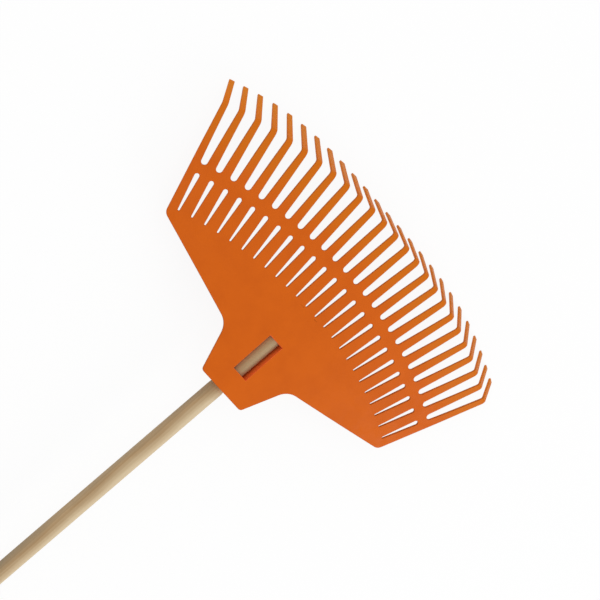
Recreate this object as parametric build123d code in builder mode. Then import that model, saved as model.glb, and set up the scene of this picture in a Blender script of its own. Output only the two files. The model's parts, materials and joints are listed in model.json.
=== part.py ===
from build123d import *
from math import asin, atan2, cos, hypot, radians, sin
import os

# Plastic leaf rake: a moulded fan head with sprung tines on a round wooden handle.
# Z is up from the floor that the tine tips and the handle's free end stand on, Y runs along the
# rake towards the tines, X is across it. The origin is on the floor, midway along the rake.
# The fan follows a shallow cone, so that every tine's line runs through the cone's apex.

os.makedirs("parts", exist_ok=True)

# Fan
tine_count = 25
tine_pitch = 2.11  # degrees about the cone's axis
cone_angle = 60.0  # degrees from the cone's axis to its surface
plate_thickness = 3.5
deck_height = 76.0  # top of the plate above the floor, on the centreline
apex_to_crossband = 709.0
crossband_width = 14.0
tine_length = 88.0  # from the bottom of the gaps to the bend
tine_root_width = 13.4
tine_bend_width = 9.1
tip_reach_middle = 12.0  # how far a tip runs on past its bend, on the centreline
tip_reach_side = 27.5  # and at the sides of the fan
tip_reach_tines = 10  # tines from the centreline out to the full side reach
tip_lean_side = 8.0  # how far the outermost tips lean inwards
bend_radius = 8.0
slot_length = 57.0
slot_inner_width = 2.9
slot_outer_width = 7.3

# Throat plate
throat_length = 221.5  # from the rear edge to the crossband
throat_width = 85.0
throat_corner_radius = 6.0
neck_setback = 67.5
neck_width = 139.7
neck_radius = 28.0
flange_length = 67.5  # from the crossband back to the corner of the flange
flange_radius = 12.0
rim_inset = 4.0
rim_thickness = 2.5
rim_height = 5.0

# Tine roots
hinge_setback = 17.0  # from the bottom of the gaps to the bending line
hinge_clearance = 0.1
hinge_land = 1.2  # how far the stub stops short of the bending line

# Handle and its socket
handle_diameter = 25.0
handle_length = 1400.0
handle_front_chamfer = 2.0
handle_end_flat = 7.0  # across the flat left on the rounded free end
seat_step = 0.3  # how much the handle is turned down where it sits in the socket
seat_reveal = 3.0  # how far the turned-down seat runs out behind the head
handle_clearance = 0.15
window_length = 68.0
window_setback = 34.0  # from the rear edge to the window
window_clearance = 1.0  # each side of the handle
socket_nose = 17.0  # covered length of the socket beyond the window
socket_wall = 4.0
strap_thickness = 4.0

# Socket screw
screw_diameter = 4.0
screw_length = 20.0
screw_point_length = 5.0
screw_head_diameter = 8.0
screw_head_height = 2.6
screw_slot_width = 1.2
screw_slot_depth = 1.2
screw_hole_clearance = 0.2
pilot_clearance = 0.03

# Places along the rake, as distances from the cone's apex
gap_distance = apex_to_crossband + crossband_width
hinge_distance = gap_distance + hinge_setback
bend_distance = gap_distance + tine_length
slot_distance = apex_to_crossband - slot_length
flange_distance = apex_to_crossband - flange_length
rear_distance = apex_to_crossband - throat_length
neck_distance = rear_distance + neck_setback
window_rear = rear_distance + window_setback
window_front = window_rear + window_length
socket_end = window_front + socket_nose

# The handle slopes so that its free end stands on the floor
handle_radius = handle_diameter / 2
seat_radius = handle_radius - seat_step
bore_radius = seat_radius + handle_clearance
handle_front_height = deck_height - plate_thickness - bore_radius
end_face_radius = handle_end_flat / 2
handle_end_radius = handle_radius - end_face_radius
straight_length = handle_length - handle_end_radius
handle_fall = handle_front_height - handle_end_radius
handle_slope = asin(handle_fall / hypot(straight_length, end_face_radius)) - atan2(
    end_face_radius, straight_length
)

# The origin is midway between the foremost tip and the handle's free end
front_reach = bend_distance + tip_reach_middle + plate_thickness / 2
handle_run = straight_length * cos(handle_slope) + end_face_radius * sin(handle_slope)
rear_reach = socket_end - handle_run - handle_end_radius
apex_y = -(front_reach + rear_reach) / 2

middle_tine = (tine_count - 1) / 2
side_turn = middle_tine * tine_pitch
side_edge = tine_bend_width / 2
half_angle = radians(cone_angle)
apex = Vector(0, apex_y, deck_height)
cone_axis = Axis(apex, (0, cos(half_angle), -sin(half_angle)))


def tine_direction(turn):
    """Unit vector outwards along the fan's surface, at a turn in degrees about the cone's axis."""
    return Vector(0, 1, 0).rotate(Axis((0, 0, 0), cone_axis.direction), turn)


def across_direction(turn):
    """Unit vector across the fan's surface, towards +X: a tine bends about this line."""
    return Vector(1, 0, 0).rotate(Axis((0, 0, 0), cone_axis.direction), turn)


def plan_point(distance, turn, offset=0.0):
    """Place in plan at a distance along a tine, moved sideways by an offset towards +X."""
    along = tine_direction(turn)
    heading = atan2(along.X, along.Y)
    x = distance * along.X + offset * cos(heading)
    y = apex_y + distance * along.Y - offset * sin(heading)
    return x, y


def spacing(distance):
    """Distance in plan between the centrelines of neighbouring tines."""
    x, _ = plan_point(distance, tine_pitch)
    return x


def tapered_slot(turn, near, near_radius, far, far_radius):
    """Round-ended slot along a tine line, between two circles of different radius."""
    flare = asin((far_radius - near_radius) / (far - near))
    near_side = near - near_radius * sin(flare)
    far_side = far - far_radius * sin(flare)
    near_left = plan_point(near_side, turn, -near_radius * cos(flare))
    near_right = plan_point(near_side, turn, near_radius * cos(flare))
    far_left = plan_point(far_side, turn, -far_radius * cos(flare))
    far_right = plan_point(far_side, turn, far_radius * cos(flare))
    with BuildSketch() as slot:
        with BuildLine():
            Line(near_left, far_left)
            ThreePointArc(far_left, plan_point(far + far_radius, turn), far_right)
            Line(far_right, near_right)
            ThreePointArc(near_right, plan_point(near - near_radius, turn), near_left)
        make_face()
    return slot.sketch


def fan_shell(upper, lower):
    """Cone-shaped sheet between two depths below the fan's top surface."""
    side = Plane(origin=apex, x_dir=tine_direction(-90), z_dir=across_direction(-90))
    with BuildPart() as shell:
        with BuildSketch(side):
            with Locations((rear_distance / 2, -upper)):
                Rectangle(bend_distance, lower - upper, align=(Align.MIN, Align.MAX))
        revolve(axis=cone_axis, revolution_arc=180)
    return shell.part


def hinge_plane(turn):
    """Plane square to a tine's bending line, X along the tine and Y up from the surface."""
    along = tine_direction(turn)
    across = across_direction(turn)
    inner = across.cross(along) * (-plate_thickness / 2)
    return Plane(origin=apex + along * hinge_distance + inner, x_dir=along, z_dir=across)


# Gaps between the tines and slots inside the crossband
gap_bottom_radius = (spacing(gap_distance) - tine_root_width) / 2
gap_bend_radius = (spacing(bend_distance) - tine_bend_width) / 2
gap_near = gap_distance + gap_bottom_radius
gap_growth = (gap_bend_radius - gap_bottom_radius) / (bend_distance - gap_near)
gap_far = bend_distance + tip_reach_side + plate_thickness
gap_far_radius = gap_bottom_radius + gap_growth * (gap_far - gap_near)
gaps = []
slots = []
for index in range(tine_count - 1):
    slot_turn = (index + 0.5) * tine_pitch - side_turn
    gaps.append(tapered_slot(slot_turn, gap_near, gap_bottom_radius, gap_far, gap_far_radius))
    slots.append(
        tapered_slot(
            slot_turn,
            slot_distance + slot_inner_width / 2,
            slot_inner_width / 2,
            apex_to_crossband - slot_outer_width / 2,
            slot_outer_width / 2,
        )
    )

# Plan outline of the head, out to just past the bending lines
stub_distance = hinge_distance + plate_thickness
rear_y = apex_y + rear_distance
neck_y = apex_y + neck_distance
flange_x, flange_y = plan_point(flange_distance, side_turn, side_edge)
stub_x, stub_y = plan_point(stub_distance, side_turn, side_edge)
with BuildSketch() as outline:
    with BuildLine():
        FilletPolyline(
            (-stub_x, stub_y),
            (-flange_x, flange_y),
            (-neck_width / 2, neck_y),
            (-throat_width / 2, rear_y),
            (throat_width / 2, rear_y),
            (neck_width / 2, neck_y),
            (flange_x, flange_y),
            (stub_x, stub_y),
            radius=[
                flange_radius,
                neck_radius,
                throat_corner_radius,
                throat_corner_radius,
                neck_radius,
                flange_radius,
            ],
        )
        ThreePointArc((stub_x, stub_y), plan_point(stub_distance, 0), (-stub_x, stub_y))
    make_face()

# Rim under the throat plate, a wall just inside its edge
rim_distance = slot_distance - rim_inset
with BuildSketch() as throat:
    add(outline.sketch)
    with Locations((0, apex_y)):
        Circle(rim_distance, mode=Mode.INTERSECT)
with BuildSketch() as rim_band:
    offset(throat.sketch, amount=-rim_inset)
    offset(throat.sketch, amount=-rim_inset - rim_thickness, mode=Mode.SUBTRACT)
with BuildPart() as rim:
    add(fan_shell(plate_thickness / 2, plate_thickness + rim_height))
    extrude(rim_band.sketch, amount=2 * deck_height, mode=Mode.INTERSECT)

# Handle line, from the end stop out to the free end
handle_start = Vector(0, apex_y + socket_end, handle_front_height)
handle_direction = Vector(0, -cos(handle_slope), -sin(handle_slope))
handle_plane = Plane(origin=handle_start, x_dir=(1, 0, 0), z_dir=handle_direction)
socket_length = socket_end - rear_distance
seat_length = socket_length / cos(handle_slope) + seat_reveal
socket_half_width = bore_radius + socket_wall
mid_window = (window_rear + window_front) / 2
screw_along = (socket_end - mid_window) / cos(handle_slope)
screw_centre = handle_start + handle_direction * screw_along
screw_up = handle_plane.y_dir
strap_outer_radius = bore_radius + strap_thickness
screw_seat = screw_centre - screw_up * strap_outer_radius
screw_flat = screw_head_diameter / 2 + screw_hole_clearance
screw_seat_depth = strap_outer_radius - (strap_outer_radius**2 - screw_flat**2) ** 0.5
screw_plane = Plane(origin=screw_seat + screw_up * screw_seat_depth, x_dir=(1, 0, 0), z_dir=screw_up)

# Cutters that part the tines from the head along their bending lines
with BuildPart() as root_cutters:
    for index in range(tine_count):
        cut_turn = index * tine_pitch - side_turn
        with BuildSketch(hinge_plane(cut_turn)):
            Circle(plate_thickness / 2 + hinge_clearance)
            with Locations((-hinge_land, 0)):
                Rectangle(4 * plate_thickness, 4 * plate_thickness, align=(Align.MIN, Align.CENTER))
        extrude(amount=(tine_root_width + gap_bottom_radius) / 2, both=True)

# Head
with BuildPart() as head:
    add(fan_shell(0, plate_thickness))
    with BuildSketch():
        add(outline.sketch)
        for cut in gaps + slots:
            add(cut, mode=Mode.SUBTRACT)
    extrude(amount=2 * deck_height, mode=Mode.INTERSECT)
    add(rim.part)
    # Socket walls under the plate, down to the handle's centreline
    with BuildSketch(Plane.YZ):
        with BuildLine():
            wall_top = deck_height - plate_thickness / 2
            wall_rear = handle_front_height - socket_length * sin(handle_slope)
            Polyline(
                (apex_y + rear_distance, wall_rear),
                (apex_y + rear_distance, wall_top),
                (apex_y + socket_end + socket_wall, wall_top),
                (apex_y + socket_end + socket_wall, handle_front_height),
                close=True,
            )
        make_face()
    extrude(amount=socket_half_width, both=True)
    # Strap under the window
    with BuildSketch(handle_plane.offset((socket_end - window_front) / cos(handle_slope))):
        Circle(strap_outer_radius)
        Rectangle(
            2 * strap_outer_radius,
            strap_outer_radius,
            align=(Align.CENTER, Align.MIN),
            mode=Mode.SUBTRACT,
        )
    extrude(amount=window_length / cos(handle_slope))
    # Bore for the handle
    with BuildSketch(handle_plane):
        Circle(bore_radius)
    extrude(amount=2 * socket_length, mode=Mode.SUBTRACT)
    # Window, from above the plate down to the handle's centreline
    with BuildSketch(Plane(origin=screw_centre)):
        Rectangle(handle_diameter + 2 * window_clearance, window_length)
    extrude(amount=deck_height, mode=Mode.SUBTRACT)
    # Screw hole and its flat seat in the strap
    with BuildSketch(screw_plane):
        Circle(screw_diameter / 2 + screw_hole_clearance)
    extrude(amount=bore_radius, mode=Mode.SUBTRACT)
    with BuildSketch(screw_plane):
        Circle(screw_flat)
    extrude(amount=-strap_outer_radius, mode=Mode.SUBTRACT)
    add(root_cutters.part, mode=Mode.SUBTRACT)
head.part.label = "head"
export_step(head.part, "parts/head.step")

# Tines
for index in range(tine_count):
    turn = index * tine_pitch - side_turn
    along = tine_direction(turn)
    across = across_direction(turn)
    heading = atan2(along.X, along.Y)
    sideways = Vector(cos(heading), -sin(heading), 0)
    side_plane = Plane(origin=apex, x_dir=along, z_dir=sideways)
    level = across.dot(sideways)
    strip_thickness = plate_thickness / level
    share = (turn / side_turn) ** 2
    spread = min(1.0, abs(turn) / (tip_reach_tines * tine_pitch))
    tip_reach = tip_reach_middle + (tip_reach_side - tip_reach_middle) * sin(radians(90) * spread) ** 2
    tip_lean = tip_lean_side * share**4
    # The tip's end stands on the floor at its lower corner
    corner_reach = tine_bend_width / 2 - tip_lean
    tip_height = strip_thickness / 2 + corner_reach * abs(across.Z) / level
    tip_end = bend_distance + tip_reach
    tip_drop = (deck_height + tip_end * along.Z - tip_height) / side_plane.y_dir.Z
    tip_centre = (tip_end, -tip_drop)
    left_reach = side_edge if index == 0 else spacing(hinge_distance) / 2
    right_reach = side_edge if index == tine_count - 1 else spacing(hinge_distance) / 2
    root_end = hinge_distance - plate_thickness
    root_height = deck_height + hinge_distance * along.Z
    inwards = sideways if turn < 0 else -sideways
    wall_direction = inwards * (tip_lean / root_height) - Vector(0, 0, 1)
    with BuildPart() as tine:
        with BuildSketch(side_plane):
            with BuildLine():
                FilletPolyline(
                    (hinge_distance, -strip_thickness / 2),
                    (bend_distance, -strip_thickness / 2),
                    tip_centre,
                    radius=bend_radius,
                )
            trace(line_width=strip_thickness)
            with Locations(tip_centre):
                Circle(strip_thickness / 2)
        extrude(amount=tine_root_width, dir=across, both=True)
        with BuildSketch(hinge_plane(turn)):
            Circle(plate_thickness / 2)
        extrude(amount=tine_root_width, both=True)
        with BuildSketch(Plane.XY.offset(root_height)):
            Polygon(
                plan_point(root_end, turn, -left_reach),
                plan_point(gap_far, turn, -left_reach),
                plan_point(gap_far, turn, right_reach),
                plan_point(root_end, turn, right_reach),
                align=None,
            )
            for cut in gaps[max(index - 1, 0) : index + 1]:
                add(cut, mode=Mode.SUBTRACT)
        extrude(amount=2 * deck_height, dir=wall_direction, both=True, mode=Mode.INTERSECT)
    tine_name = f"tine_{index + 1:02d}"
    tine.part.label = tine_name
    export_step(tine.part, f"parts/{tine_name}.step")

# Handle
with BuildPart() as handle:
    with BuildSketch(handle_plane):
        Circle(seat_radius)
    extrude(amount=seat_length)
    with BuildSketch(handle_plane.offset(seat_length)):
        Circle(handle_radius)
    extrude(amount=handle_length - seat_length)
    rims = handle.edges().filter_by(GeomType.CIRCLE).sort_by(Axis.Y)
    fillet(rims[0], radius=handle_end_radius)
    chamfer(rims[-1], length=handle_front_chamfer)
    with BuildSketch(screw_plane):
        Circle(screw_diameter / 2 + pilot_clearance)
    extrude(amount=screw_length + pilot_clearance, mode=Mode.SUBTRACT)
handle.part.label = "handle"
export_step(handle.part, "parts/handle.step")

# Socket screw, pointing up into the handle
with BuildPart() as socket_screw:
    with BuildSketch(screw_plane):
        Circle(screw_diameter / 2)
    extrude(amount=screw_length)
    point = socket_screw.edges().filter_by(GeomType.CIRCLE).sort_by(Axis.Z)[-1]
    chamfer(point, length=screw_point_length, length2=screw_diameter / 3)
    with BuildSketch(screw_plane):
        Circle(screw_head_diameter / 2)
    extrude(amount=-screw_head_height)
    with BuildSketch(screw_plane.offset(-screw_head_height)):
        Rectangle(screw_head_diameter, screw_slot_width)
    extrude(amount=screw_slot_depth, mode=Mode.SUBTRACT)
socket_screw.part.label = "socket_screw"
export_step(socket_screw.part, "parts/socket_screw.step")
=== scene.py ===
"""Dresses the leaf rake: moulded fan head, flexing tines, wooden handle, socket and stage."""

import json
from math import asin, atan, atan2, cos, hypot, pi, radians, sin, tan

import bmesh
import bpy
from bpy.props import FloatProperty, FloatVectorProperty, IntProperty, PointerProperty
from bpy.types import Operator, Panel, PropertyGroup
from mathutils import Matrix, Vector


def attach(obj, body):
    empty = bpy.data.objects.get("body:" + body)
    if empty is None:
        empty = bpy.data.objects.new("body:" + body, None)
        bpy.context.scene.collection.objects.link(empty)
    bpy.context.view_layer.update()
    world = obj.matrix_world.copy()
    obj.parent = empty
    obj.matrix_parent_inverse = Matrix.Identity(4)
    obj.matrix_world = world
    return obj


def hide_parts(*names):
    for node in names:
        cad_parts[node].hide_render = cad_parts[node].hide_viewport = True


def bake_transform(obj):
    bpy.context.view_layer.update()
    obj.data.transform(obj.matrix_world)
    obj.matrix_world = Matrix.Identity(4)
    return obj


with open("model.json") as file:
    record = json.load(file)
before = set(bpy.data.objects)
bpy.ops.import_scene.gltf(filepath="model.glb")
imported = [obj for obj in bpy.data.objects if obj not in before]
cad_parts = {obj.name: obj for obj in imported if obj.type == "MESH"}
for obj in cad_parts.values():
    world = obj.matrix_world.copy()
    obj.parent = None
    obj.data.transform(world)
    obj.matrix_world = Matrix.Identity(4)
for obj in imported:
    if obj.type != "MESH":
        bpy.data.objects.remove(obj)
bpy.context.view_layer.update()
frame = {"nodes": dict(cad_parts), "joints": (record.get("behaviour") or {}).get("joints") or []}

bl_info = {
    "name": "Leaf Rake",
    "version": (1, 0, 0),
    "blender": (4, 5, 0),
    "location": "View3D > Sidebar > Rake",
    "description": "Models a fan-shaped plastic leaf rake on a wooden handle",
    "category": "Object",
}

ORIGIN = Vector((0.0, 0.0, 0.0))
X_AXIS = Vector((1.0, 0.0, 0.0))
Y_AXIS = Vector((0.0, 1.0, 0.0))
Z_AXIS = Vector((0.0, 0.0, 1.0))
UPRIGHT = Matrix.Rotation(pi / 2, 4, "X")

PLASTIC = "moulded_orange_plastic"
WOOD = "pale_turned_wood"
STEEL = "plated_steel"
WHITE = (1.0, 1.0, 1.0, 1.0)
MIX_UNDER, MIX_OVER, MIX_RESULT = 6, 7, 2  # colour sockets of a Mix node

# Distances in metres within which places count as one
SAME_PLACE = 1e-6
MIRROR_MERGE = 1e-5
FAN_MERGE = 2e-5
WELD_DECIMALS = 5  # of a metre, to which the middles of two faces agree

# Angles in radians, and facings, as the part of a normal that points one way
SEAM_ANGLE = 1e-7
FLAT_ANGLE = radians(1.0)
SHARP_ANGLE = radians(60.0)
HANDLE_SHARP_ANGLE = radians(35.0)
WALL_RISE = 0.5  # a face that faces up or down by less is a wall
SIDE_FACING = 0.2  # a face that faces sideways by more is on a tine's edge
END_FACING = 0.9  # a face that faces outwards by more closes a tine root

# Margins in metres for finding faces and edges by their place
END_MARGIN = 0.0008
WINDOW_MARGIN = 0.002
WALL_MARGIN = 0.0007
TIP_MARGIN = 0.0002
LEVEL_MARGIN = 1e-5
TIP_OFFSET = 1.2  # a tip's end edges lie further from its middle, in half thicknesses

# Steps of arcs and sweeps
SLOT_STEPS = 5
CORNER_STEPS = 6
ARC_STEPS = 8
BORE_STEPS = 24
HANDLE_STEPS = 56
HANDLE_LENGTHS = 12
TINE_RUN_STEPS = 16
TINE_BEND_STEPS = 8
TINE_TIP_STEPS = 6

# Segments of rounded edges
FINE_SEGMENTS = 2
PLATE_SEGMENTS = 3
TIP_SEGMENTS = 4

TIP_ROUNDING = 0.98  # rounding of a tip's end, in half thicknesses
LEAN_POWER = 8  # how steeply the lean of the tips grows towards the sides
EDGE_SHADE_FADE = 4.0  # how soon the painted shade on a tine's edges fades towards its tip
RIM_CORNER_TINES = 3  # tines that an eased corner of the rim takes in
SOCKET_ROOM = 0.004  # height of the socket's blocks over the bore before they meet the plate
SEAT_SHADE = (-0.024, 0.004)  # where painted shade on the seat starts and is full, from the throat's rear

# Stage
FLOOR_SIZE = 9.0
FLOOR_ROUGHNESS = 0.9
PAPER_SHARE = 0.9  # share of plain white where the floor is seen, the rest takes shadows
SKY_LIGHT = 0.62
LAMPS = {  # place, width and power
    "key": ((3.2, 0.0, 1.6), 2.0, 52.0),
    "top": ((-1.2, 0.9, 3.3), 3.0, 27.0),
    "fill": ((-1.8, 2.4, 0.9), 2.0, 14.0),
}
LAMP_AIM = Vector((0.0, 0.45, 0.05))
CAMERA_PLACE = (-1.70467, 0.65714, 3.85020)
CAMERA_RIGHT = Vector((0.60591, 0.749892, 0.265586))
CAMERA_UP = Vector((-0.68367, 0.661541, -0.308154))
CAMERA_SENSOR = 36.0
CAMERA_LENS = 180.05
CAMERA_REACH = 40.0


def metres(name, description, default):
    """A length that a user may change."""
    return FloatProperty(
        name=name, description=description, default=default, unit="LENGTH", precision=4
    )


def degrees(name, description, default):
    """An angle, given in degrees, that a user may change."""
    return FloatProperty(
        name=name, description=description, default=radians(default), subtype="ANGLE"
    )


def count(name, description, default):
    """A number of things that a user may change."""
    return IntProperty(name=name, description=description, default=default)


def colour(name, description, default):
    """A linear colour that a user may change."""
    return FloatVectorProperty(
        name=name,
        description=description,
        default=default,
        size=3,
        min=0.0,
        max=1.0,
        subtype="COLOR",
    )


class RakeFanSizes(PropertyGroup):
    """Sizes of the fan, as distances from the apex of the cone that it follows."""

    apex_y: metres("Apex", "Place of the cone's apex along the rake", -0.0159733)
    deck_height: metres("Deck height", "Top of the plate above the floor", 0.076)
    cone_angle: degrees("Cone angle", "From the cone's axis to its surface", 60.0)
    tine_pitch: degrees("Tine pitch", "Between neighbouring tines, about the cone's axis", 2.11)
    tine_count: count("Tines", "Number of tines", len(frame["joints"]))
    plate_thickness: metres("Plate thickness", "Thickness of the moulding", 0.0035)
    edge_rounding: metres("Edge rounding", "Rounding of the moulding's edges", 0.0007)
    fine_rounding: metres("Fine rounding", "Rounding of the socket and the rim", 0.0005)
    fan_start: metres("Fan start", "Where the throat plate becomes the fan", 0.649)
    crossband: metres("Crossband", "Outer ends of the inner slots", 0.709)
    crossband_width: metres("Crossband width", "From the slots to the gaps between tines", 0.014)
    slot_length: metres("Slot length", "Length of the inner slots", 0.057)
    slot_inner_width: metres("Slot inner width", "Width of a slot near the throat", 0.0029)
    slot_outer_width: metres("Slot outer width", "Width of a slot at the crossband", 0.0073)
    parting: metres("Parting", "Where the flexing tines begin", 0.7305)


class RakeTineSizes(PropertyGroup):
    """Sizes of the tines."""

    length: metres("Length", "From the bottom of the gaps to the bend", 0.088)
    root_width: metres("Root width", "Width at the bottom of the gaps", 0.0134)
    bend_width: metres("Bend width", "Width at the bend", 0.0091)
    bend_radius: metres("Bend radius", "Middle radius of the bend", 0.008)
    reach_middle: metres("Middle reach", "How far the middle tip runs on past its bend", 0.012)
    reach_side: metres("Side reach", "How far the outer tips run on past their bends", 0.0275)
    reach_tines: count("Reach tines", "Tines from the middle to the full reach", 10)
    lean_side: metres("Side lean", "How far the outermost tips lean inwards", 0.008)
    hinge_setback: metres("Hinge setback", "From the bottom of the gaps to the hinges", 0.017)
    flex_end: metres("Flex end", "Where a flexing tine is straight again", 0.775)


class RakeThroatSizes(PropertyGroup):
    """Sizes of the throat plate, as distances from the apex and widths."""

    rear: metres("Rear", "Rear edge of the throat", 0.4875)
    width: metres("Width", "Width at the rear edge", 0.085)
    corner_radius: metres("Corner radius", "Rounding of the rear corners", 0.006)
    neck: metres("Neck", "Where the throat starts to widen", 0.555)
    neck_width: metres("Neck width", "Width at the neck", 0.1397)
    neck_radius: metres("Neck radius", "Rounding of the neck", 0.028)
    flange: metres("Flange", "Corners of the flange", 0.6415)
    flange_radius: metres("Flange radius", "Rounding of the flange corners", 0.012)
    window_rear: metres("Window rear", "Rear end of the window", 0.5215)
    window_front: metres("Window front", "Front end of the window", 0.5895)
    window_width: metres("Window width", "Width of the window", 0.027)
    rim_inset: metres("Rim inset", "From the edge of the plate to the rim", 0.0045)
    rim_thickness: metres("Rim thickness", "Thickness of the rim", 0.0025)
    rim_height: metres("Rim height", "Height of the rim below the plate", 0.005)
    rim_end: metres("Rim end", "From the bore to the rim's ends in the socket's walls", 0.002)


class RakeHandleSizes(PropertyGroup):
    """Sizes of the handle and of the socket that holds it."""

    front: metres("Front", "Where the handle meets the end stop", 0.6065)
    front_height: metres("Front height", "Centreline above the floor at the end stop", 0.06015)
    slope: degrees("Slope", "Fall of the handle towards its free end", 1.963189)
    length: metres("Length", "Length of the handle", 1.4)
    radius: metres("Radius", "Radius of the handle", 0.0125)
    seat_radius: metres("Seat radius", "Radius where it sits in the socket", 0.0122)
    seat_length: metres("Seat length", "Length of the turned-down seat", 0.12207)
    seat_shoulder: metres("Seat shoulder", "Length of the slant behind the seat", 0.0003)
    chamfer: metres("Chamfer", "Chamfer at the front", 0.002)
    end_radius: metres("End radius", "Rounding of the free end", 0.009)
    edge_rounding: metres("Edge rounding", "Rounding of the turned edges", 0.0004)
    bore_radius: metres("Bore radius", "Inner radius of the socket", 0.01235)
    socket_wall: metres("Socket wall", "Wall of the socket and the strap", 0.004)
    socket_setback: metres("Socket setback", "From the throat's rear to the socket's", 0.0002)
    strap_lap: metres("Strap lap", "How far the strap runs past the window's ends", 0.0012)


class RakeFinish(PropertyGroup):
    """Colours of the rake and its stage."""

    plastic: colour("Plastic", "Moulded head", (0.63, 0.115, 0.0035))
    plastic_deep: colour("Plastic, deep", "Darker mottling of the moulding", (0.59, 0.104, 0.003))
    plastic_tine: colour("Plastic, tines", "Thin, paler tines", (0.605, 0.147, 0.003))
    plastic_tip: colour("Plastic, tips", "Scuffed ends of the tines", (0.61, 0.198, 0.012))
    # Painted shade: a darker tone on the moulding's edges and walls, where shade falls
    plastic_edge_shade: colour("Plastic, edges", "Painted shade on the edges of the moulding", (0.36, 0.095, 0.01))
    # Painted light: a brighter red glow on the walls of the window and the socket
    plastic_wall_glow: colour("Plastic, walls", "Painted glow on the walls of the window", (0.8, 0.135, 0.025))
    # Partly painted light: the pale sapwood lies on the handle's lit side
    wood_pale_and_lit: colour("Wood, light", "Sapwood, partly painted light on the lit side, and tone bands", (0.62, 0.495, 0.315))
    wood_middle: colour("Wood, middle", "Early wood of the handle", (0.475, 0.325, 0.175))
    wood_dark: colour("Wood, dark", "Late wood of the handle", (0.39, 0.245, 0.115))
    # Painted shade on the -X side of the handle, away from the key lamp
    wood_shaded_side: colour("Wood, grey", "Painted shade on the handle's other side", (0.25, 0.195, 0.125))
    # Painted shade on the handle in and just outside the socket
    wood_seat_shade: colour("Wood, seat", "Painted shade on the seat, in and at the socket", (0.36, 0.235, 0.115))
    steel: colour("Steel", "Socket screw", (0.55, 0.55, 0.56))
    steel_deep: colour("Steel, deep", "Turning marks of the screw", (0.44, 0.44, 0.448))
    floor: colour("Floor", "Studio floor", (0.92, 0.92, 0.92))


def corners_of(items):
    """The vertices among an operator's items."""
    return [item for item in items if isinstance(item, bmesh.types.BMVert)]


def edges_of(items):
    """The edges among an operator's items."""
    return [item for item in items if isinstance(item, bmesh.types.BMEdge)]


def faces_of(items):
    """The faces among an operator's items."""
    return [item for item in items if isinstance(item, bmesh.types.BMFace)]


def everything(bm):
    """All of a mesh, as the operators take it."""
    return bm.verts[:] + bm.edges[:] + bm.faces[:]


def whole(faces):
    """Faces with their edges and vertices, as the operators take them."""
    verts = {vert for face in faces for vert in face.verts}
    edges = {edge for face in faces for edge in face.edges}
    return list(verts) + list(edges) + list(faces)


def sharp_edges(bm, limit):
    """Edges where two faces meet at more than a limit."""
    return [edge for edge in bm.edges if edge.is_manifold and edge.calc_face_angle(0.0) > limit]


def cut(bm, geom, place, normal):
    """Cut geometry at a plane, and return what it has become."""
    return bmesh.ops.bisect_plane(
        bm, geom=geom, dist=SAME_PLACE, plane_co=place, plane_no=normal
    )["geom"]


def outward(bm):
    """Turn the faces of a closed mesh outwards, or those of a sheet one way."""
    bmesh.ops.recalc_face_normals(bm, faces=bm.faces[:])


def upward(bm):
    """Turn the faces of a sheet upwards."""
    outward(bm)
    under = [face for face in bm.faces if face.normal.z < 0.0]
    bmesh.ops.reverse_faces(bm, faces=under)


def extruded(bm, faces, shift):
    """Give faces depth, and keep them as the near end."""
    grown = bmesh.ops.extrude_face_region(bm, geom=faces, use_keep_orig=True)
    bmesh.ops.translate(bm, verts=corners_of(grown["geom"]), vec=shift)


def thickened(bm, thickness):
    """Give an upward sheet its thickness, downwards."""
    top = max(vert.co.z for vert in bm.verts)
    bmesh.ops.solidify(bm, geom=bm.faces[:], thickness=thickness)
    if max(vert.co.z for vert in bm.verts) > top + thickness / 2:
        raise RuntimeError("the plate grew upwards")


def round_edges(bm, edges, size, segments, clamped=True):
    """Round edges, by less where they are short if clamped, and return the new faces."""
    rounded = bmesh.ops.bevel(
        bm,
        geom=edges,
        offset=size,
        offset_type="OFFSET",
        segments=segments,
        profile=0.5,
        affect="EDGES",
        clamp_overlap=clamped,
        material=-1,
    )
    return set(rounded["faces"])


def welded(bm):
    """Join blocks that meet face to face into one closed shell."""
    spots = {}
    for face in bm.faces:
        spot = tuple(round(value, WELD_DECIMALS) for value in face.calc_center_median())
        spots.setdefault(spot, []).append(face)
    inner = [face for faces in spots.values() if len(faces) > 1 for face in faces]
    bmesh.ops.delete(bm, geom=inner, context="FACES")
    bmesh.ops.remove_doubles(bm, verts=bm.verts[:], dist=SAME_PLACE)
    bmesh.ops.dissolve_limit(bm, angle_limit=FLAT_ANGLE, verts=bm.verts[:], edges=bm.edges[:])
    if not all(edge.is_manifold for edge in bm.edges):
        raise RuntimeError("the blocks don't close up")


def finished(bm, name, material, body):
    """Turn a mesh into a smooth-shaded piece that rides on a body."""
    mesh = bpy.data.meshes.new(name)
    bm.to_mesh(mesh)
    bm.free()
    mesh.materials.append(material)
    mesh.shade_smooth()
    piece = bpy.data.objects.new(name, mesh)
    bpy.context.scene.collection.objects.link(piece)
    weighted = piece.modifiers.new("Flat faces", "WEIGHTED_NORMAL")
    weighted.mode = "FACE_AREA"
    weighted.weight = 50
    weighted.keep_sharp = True
    if body:
        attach(piece, body)
    return piece


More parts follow.
